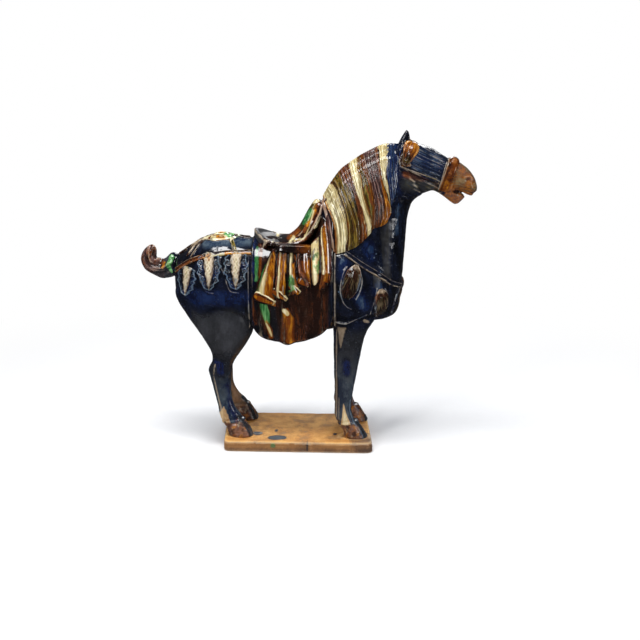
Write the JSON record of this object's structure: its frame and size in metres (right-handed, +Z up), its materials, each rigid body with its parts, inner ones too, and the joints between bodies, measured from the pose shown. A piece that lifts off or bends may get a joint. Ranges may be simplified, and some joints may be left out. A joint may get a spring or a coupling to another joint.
{
  "type": "tomb horse figure",
  "caption": "Glazed earthenware tomb horse, saddled and bridled, standing square on a flat clay slab with its mane combed to one side.",
  "frame": {"origin": "middle of the slab's underside", "axes": "+X towards the horse's head, +Z up, -Y the horse's own right side, which shows the combed mane"},
  "size_m": [0.646, 0.186, 0.6101],
  "materials": {
    "glazed_earthenware": "gloss lead glaze in cobalt blue with amber, cream, green and brown runs",
    "bare_clay": "unglazed buff clay with a few drips of glaze"
  },
  "bodies": {
    "root": {"horse": "glazed_earthenware", "base_slab": "bare_clay"}
  },
  "joints": []
}
